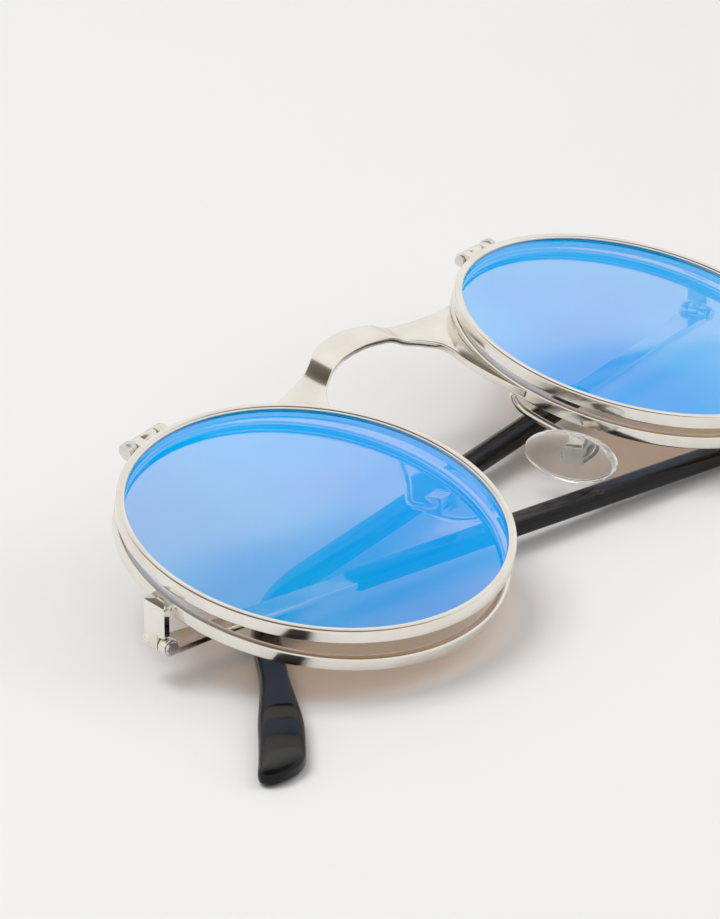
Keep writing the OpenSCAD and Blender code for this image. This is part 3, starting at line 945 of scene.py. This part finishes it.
@dataclass
class NosePad:
    """A soft pad on its insert, a square box with a screw, and the wire arm that holds them.

    Each place is given as how far in from the eye's middle the pad's middle is, how far towards
    the brow, and its height. The wire's bends are given outwards, towards the brow and upwards:
    `hang` from its root, and `loop` and `turn_in` from the back of the box, where the second
    number of `loop` is its share of the way to the root.
    """

    shop: Workshop
    side: Side
    left_place: tuple = (26.1, -2.8, 7.05)
    right_place: tuple = (28.5, -8.5, 6.75)
    length: float = 14.0
    width: float = 7.0
    thickness: float = 2.4
    lean: float = 6.0
    outline_steps: int = 64
    pillow_rings: int = 16
    pillow_power: float = 5.0
    cheek_fill: float = 0.92
    box_fill: float = 0.98
    box_gap: float = 0.35
    box_w: float = 2.4
    wire_r: float = 0.5
    wire_columns: int = 20
    wire_steps: int = 12
    root_inset: float = 0.5
    root_y: float = 3.0
    root_drop: float = 0.7
    hang: tuple = (0.5, -1.1, -2.4)
    loop: tuple = (1.3, 0.45, 0.4)
    turn_in: tuple = (1.1, 0.9, 0.1)
    run_in: float = 0.35

    @property
    def middle(self) -> np.ndarray:
        """The pad's middle, before the model is moved over its origin."""
        inward, brow, height = self.left_place if self.side is Side.LEFT else self.right_place
        return np.array([self.side.value * (LAYOUT.eye_pitch / 2 - inward), brow, height])

    def place(self) -> np.ndarray:
        """The pad's frame: X points to the rim and Y along the pad."""
        mirror = np.diag([float(self.side.value), 1.0, 1.0, 1.0])
        return moved(*(self.middle + np.array(LAYOUT.shift))) @ turned(0, -self.lean) @ mirror

    def cushion(self) -> bpy.types.Object:
        """The pad: an oval pillow whose half thickness falls from its middle to its edge.

        Returns:
            The piece. With r from 0 to 1 along each radius, half the thickness at r is half the
            pad's thickness times the square root of 1 less r to the fifth power. Each side is
            filled to a share of that, a little less on the side of the nose.
        """
        around = np.linspace(0, 2 * np.pi, self.outline_steps, endpoint=False)
        share = np.sin(np.linspace(0.05, 0.5, self.pillow_rings) * np.pi)
        half = self.thickness / 2 * np.sqrt(np.clip(1 - share**self.pillow_power, 0, 1))
        rows_r = np.concatenate([share, share[::-1][1:]])
        rows_x = np.concatenate([-self.cheek_fill * half, (self.box_fill * half)[::-1][1:]])
        y = rows_r[:, None] * self.length / 2 * np.cos(around)
        z = rows_r[:, None] * self.width / 2 * np.sin(around)
        x = np.broadcast_to(rows_x[:, None], y.shape)
        ends = self.thickness / 2 * np.array([[-self.cheek_fill, 0, 0], [self.box_fill, 0, 0]])
        points = placed(self.place(), np.vstack([np.stack([x, y, z], axis=-1).reshape(-1, 3), ends]))
        return make_piece(f"{self.side.word}_silicone_pad", points, skin(len(rows_r), self.outline_steps))

    def arm(self) -> bpy.types.Object:
        """The wire arm.

        Returns:
            The piece: a round tube along a smooth curve. It leaves the underside of the rim, a
            little inside its outer circle, bows outwards in a small loop and comes in to the
            back of the pad box.
        """
        sign = self.side.value
        shift = np.array(LAYOUT.shift)
        root_x = -sign * math.sqrt((LAYOUT.rim_r - self.root_inset) ** 2 - self.root_y**2)
        under = np.array([
            [root_x, self.root_y, -LAYOUT.rim_h], [root_x, self.root_y, -LAYOUT.rim_h - self.root_drop],
        ])
        root, down = placed(LAYOUT.eye(self.side), under) - shift
        back = self.middle + np.array([sign * (self.thickness / 2 + self.box_gap + self.box_w), 0, 0])
        outward = np.array([sign, 1.0, 1.0])
        loop_out, loop_share, loop_up = self.loop
        loop = np.array([loop_out, loop_share * (root[1] - back[1]), loop_up])
        knots = np.array([
            root, down, root + outward * self.hang, back + outward * loop, back + outward * self.turn_in,
            back + [sign * self.run_in, 0, 0], back,
        ]) + shift
        path = smooth_path(knots, self.wire_steps)
        rings = wire_rings(path, np.full(len(path), self.wire_r), self.wire_columns)
        points = np.vstack([rings, path[0], path[-1]])
        return make_piece(f"{self.side.word}_pad_wire", points, skin(len(path), self.wire_columns))

    def build(self) -> None:
        """Makes the pad and the wire, and dresses the hardware."""
        word = self.side.word
        self.shop.add(self.cushion(), SILICONE, f"{word}_pad", "nose_pad", f"{word}_nose_pad")
        self.shop.add(self.arm(), PLATE, "front", "frame", f"{word}_pad_arm")
        self.shop.dress_node(f"{word}_pad_insert", INSERT, bevel=0.06)
        self.shop.dress_node(f"{word}_pad_box", PLATE, bevel=0.08)
        self.shop.dress_node(f"{word}_pad_screw", STEEL, bevel=0.04)


# Studio


@dataclass
class Studio:
    """Pale floor, soft lights and the camera at the photograph's angle."""

    lens_mm: float = 201.01
    sensor_mm: float = 36.0
    nearest_mm: float = 10.0
    target: tuple = (-9.798, 22.971, 11.0)
    distance: float = 645.7
    azimuth: float = -55.606
    elevation: float = 24.40
    floor_half: float = 3000.0
    floor_tone: tuple = (0.885, 0.88, 0.875)
    floor_shade: float = 0.985
    floor_cloud_scale: float = 6.0
    floor_blur: float = 0.55
    floor_shine: float = 0.2
    backdrop_tone: tuple = (0.93, 0.925, 0.92)
    ambient: float = 0.64
    sky: tuple = (
        (0.0, (0.80, 0.77, 0.72)), (0.3, (0.93, 0.91, 0.87)), (0.60, (1.0, 0.985, 0.96)),
        (0.74, (0.86, 0.83, 0.79)), (0.84, (0.30, 0.27, 0.23)), (1.0, (0.09, 0.08, 0.07)),
    )

    def camera(self) -> None:
        """Puts the camera at its distance from the target, along the photograph's line of sight."""
        around, up = math.radians(self.azimuth), math.radians(self.elevation)
        back = Vector((math.sin(around) * math.cos(up), -math.cos(around) * math.cos(up), math.sin(up)))
        data = bpy.data.cameras.new("photo_camera")
        data.lens = self.lens_mm
        data.sensor_width = self.sensor_mm
        data.clip_start = self.nearest_mm * MM
        camera = bpy.data.objects.new("photo_camera", data)
        camera.location = Vector(self.target) * MM + back * self.distance * MM
        camera.rotation_euler = back.to_track_quat("Z", "Y").to_euler()
        bpy.context.scene.collection.objects.link(camera)
        bpy.context.scene.camera = camera

    def floor(self) -> None:
        """A wide pale floor with a very slight change of tone."""
        mesh = bpy.data.meshes.new("floor")
        half = self.floor_half * MM
        corners = [(-half, -half, 0), (half, -half, 0), (half, half, 0), (-half, half, 0)]
        mesh.from_pydata(corners, [], [(0, 1, 2, 3)])
        floor = bpy.data.objects.new("floor", mesh)
        bpy.context.scene.collection.objects.link(floor)
        material, tree, output = new_material("pale_floor")
        shader = tree.nodes.new("ShaderNodeBsdfPrincipled")
        shader.inputs["Roughness"].default_value = self.floor_blur
        shader.inputs["Specular IOR Level"].default_value = self.floor_shine
        shade = tuple(self.floor_shade * value for value in self.floor_tone)
        tone = noise_between(tree, self.floor_cloud_scale, shade, self.floor_tone)
        tree.links.new(tone, shader.inputs["Base Color"])
        tree.links.new(shader.outputs[0], output.inputs["Surface"])
        mesh.materials.append(material)

    def world(self) -> None:
        """The world: an even, dimmer light, and the sky for what the camera, metal and glass show."""
        world = bpy.data.worlds.new("studio")
        world.use_nodes = True
        bpy.context.scene.world = world
        tree = world.node_tree
        tree.nodes.clear()
        output = tree.nodes.new("ShaderNodeOutputWorld")
        path = tree.nodes.new("ShaderNodeLightPath")
        seen = tree.nodes.new("ShaderNodeBackground")
        tree.links.new(self.sky_colour(tree), seen.inputs["Color"])
        light = tree.nodes.new("ShaderNodeBackground")
        light.inputs["Color"].default_value = (*self.backdrop_tone, 1)
        light.inputs["Strength"].default_value = self.ambient
        shown = path.outputs["Is Camera Ray"]
        for ray in ("Is Glossy Ray", "Is Transmission Ray"):
            either = tree.nodes.new("ShaderNodeMath")
            either.operation = "MAXIMUM"
            tree.links.new(shown, either.inputs[0])
            tree.links.new(path.outputs[ray], either.inputs[1])
            shown = either.outputs[0]
        mix = tree.nodes.new("ShaderNodeMixShader")
        tree.links.new(shown, mix.inputs[0])
        tree.links.new(light.outputs[0], mix.inputs[1])
        tree.links.new(seen.outputs[0], mix.inputs[2])
        tree.links.new(mix.outputs[0], output.inputs["Surface"])

    def sky_colour(self, tree: bpy.types.NodeTree) -> bpy.types.NodeSocket:
        """What the camera, metal and glass see above the floor: pale low down and dark overhead.

        Args:
            tree: the world's node tree.

        Returns:
            The colour socket, a ramp over the height of the direction from 0 at the horizon to 1.
        """
        place = tree.nodes.new("ShaderNodeTexCoord")
        split = tree.nodes.new("ShaderNodeSeparateXYZ")
        ramp = tree.nodes.new("ShaderNodeValToRGB")
        stops = ramp.color_ramp.elements
        for height, _ in self.sky[1:-1]:
            stops.new(height)
        for stop, (height, tone) in zip(stops, self.sky):
            stop.position = height
            stop.color = (*tone, 1)
        tree.links.new(place.outputs["Generated"], split.inputs["Vector"])
        tree.links.new(split.outputs["Z"], ramp.inputs["Fac"])
        return ramp.outputs["Color"]

    def lamp(self, name: str, place: tuple, size: float, power: float) -> None:
        """A square soft light aimed at the glasses, which metal and glass don't mirror.

        Args:
            name: the lamp's name.
            place: where it hangs, in metres.
            size: its side in metres.
            power: its power in watts.
        """
        data = bpy.data.lights.new(name, "AREA")
        data.shape = "SQUARE"
        data.size = size
        data.energy = power
        lamp = bpy.data.objects.new(name, data)
        lamp.visible_glossy = False
        lamp.location = place
        lamp.rotation_euler = Vector(place).to_track_quat("Z", "Y").to_euler()
        bpy.context.scene.collection.objects.link(lamp)

    def build(self) -> None:
        """Sets up the whole studio."""
        self.camera()
        self.floor()
        self.world()
        self.lamp("key_light", place=(-0.25, 0.35, 0.9), size=0.55, power=4.2)
        self.lamp("fill_light", place=(0.5, -0.7, 0.6), size=0.8, power=1.6)
        bpy.context.scene.view_settings.view_transform = "Standard"


def main() -> None:
    """Builds the studio and every sub-assembly."""
    logging.basicConfig(level=logging.INFO, format="%(name)s: %(message)s")
    Studio().build()
    shop = Workshop()
    Front(shop).build()
    Flips(shop).build()
    for side in Side:
        Temple(shop, side).build()
        NosePad(shop, side).build()


if __name__ == "__main__":
    main()
